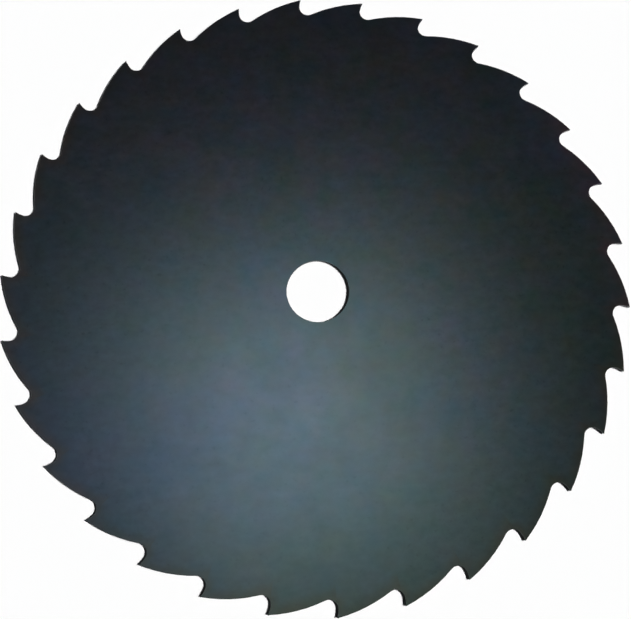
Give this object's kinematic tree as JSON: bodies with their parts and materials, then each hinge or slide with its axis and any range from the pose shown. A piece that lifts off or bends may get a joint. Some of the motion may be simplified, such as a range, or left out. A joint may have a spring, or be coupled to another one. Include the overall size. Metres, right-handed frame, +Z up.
{
  "type": "brush cutter blade",
  "caption": "Flat round steel brush cutter blade with hooked saw teeth cut round the rim and one central arbor bore.",
  "frame": {"origin": "centre of the arbor bore, at the level of the lower face", "axes": "+Z up along the bore's axis and out of the upper face; one tooth tip lies on +Y; seen from +Z the teeth point clockwise"},
  "size_m": [0.2536, 0.255, 0.0016],
  "materials": {
    "blued_steel": "dark blue-black oxide, satin"
  },
  "bodies": {
    "root": {"blade": "blued_steel"}
  },
  "joints": []
}
